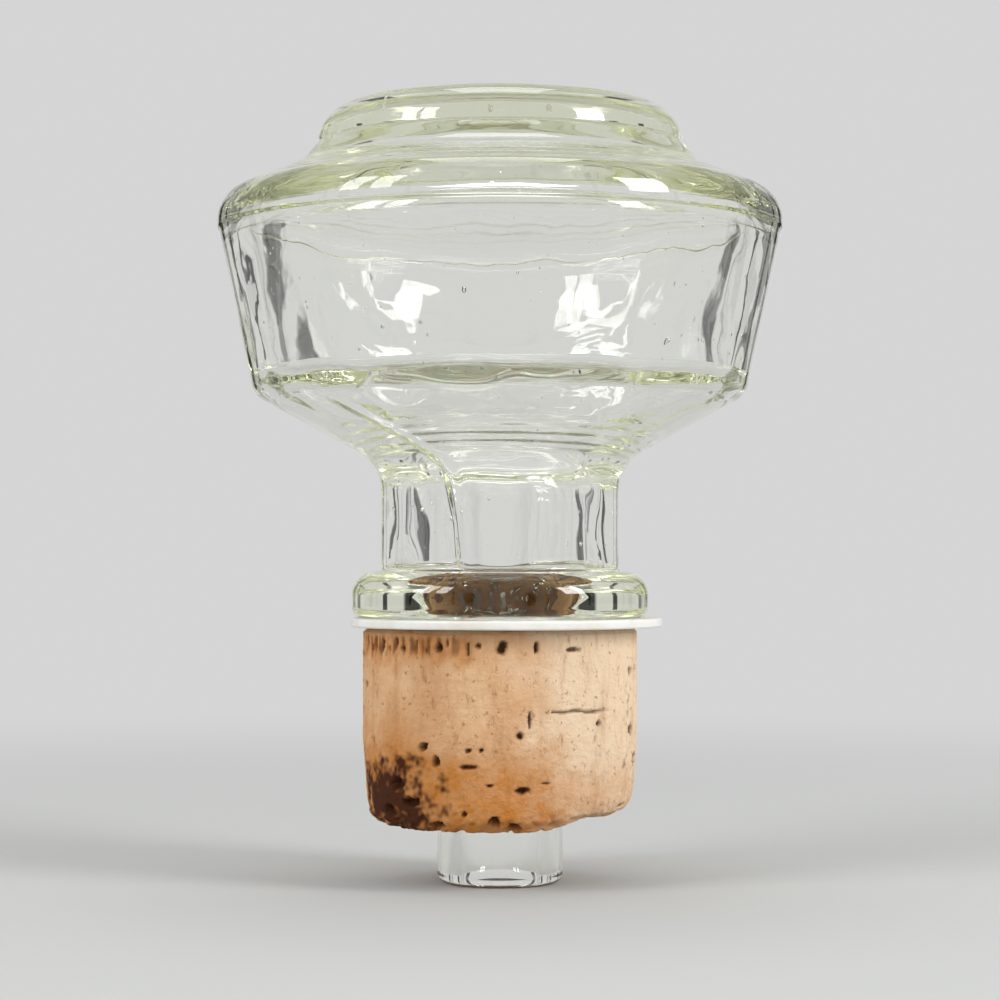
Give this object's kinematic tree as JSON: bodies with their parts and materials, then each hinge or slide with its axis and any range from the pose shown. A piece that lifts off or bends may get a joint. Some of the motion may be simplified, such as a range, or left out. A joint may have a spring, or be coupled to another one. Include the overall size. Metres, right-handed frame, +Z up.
{
  "type": "glass stopper",
  "caption": "Hollow blown glass stopper with a round drum-shaped knob, a beaded stem, a white washer and a cork collar on its glass peg.",
  "frame": {"origin": "centre of the peg's open foot, the lowest plane, on which the stopper stands", "axes": "+Z up along the stopper's axis of symmetry, from the peg's foot to the flat top of the knob; +X and +Y are any two directions square to it"},
  "size_m": [0.0632, 0.0632, 0.0865],
  "materials": {
    "glass": "polished",
    "washer_plastic": "satin",
    "cork": "matte"
  },
  "bodies": {
    "root": {"glass_knob": "glass", "plastic_washer": "washer_plastic", "cork_collar": "cork"}
  },
  "joints": []
}
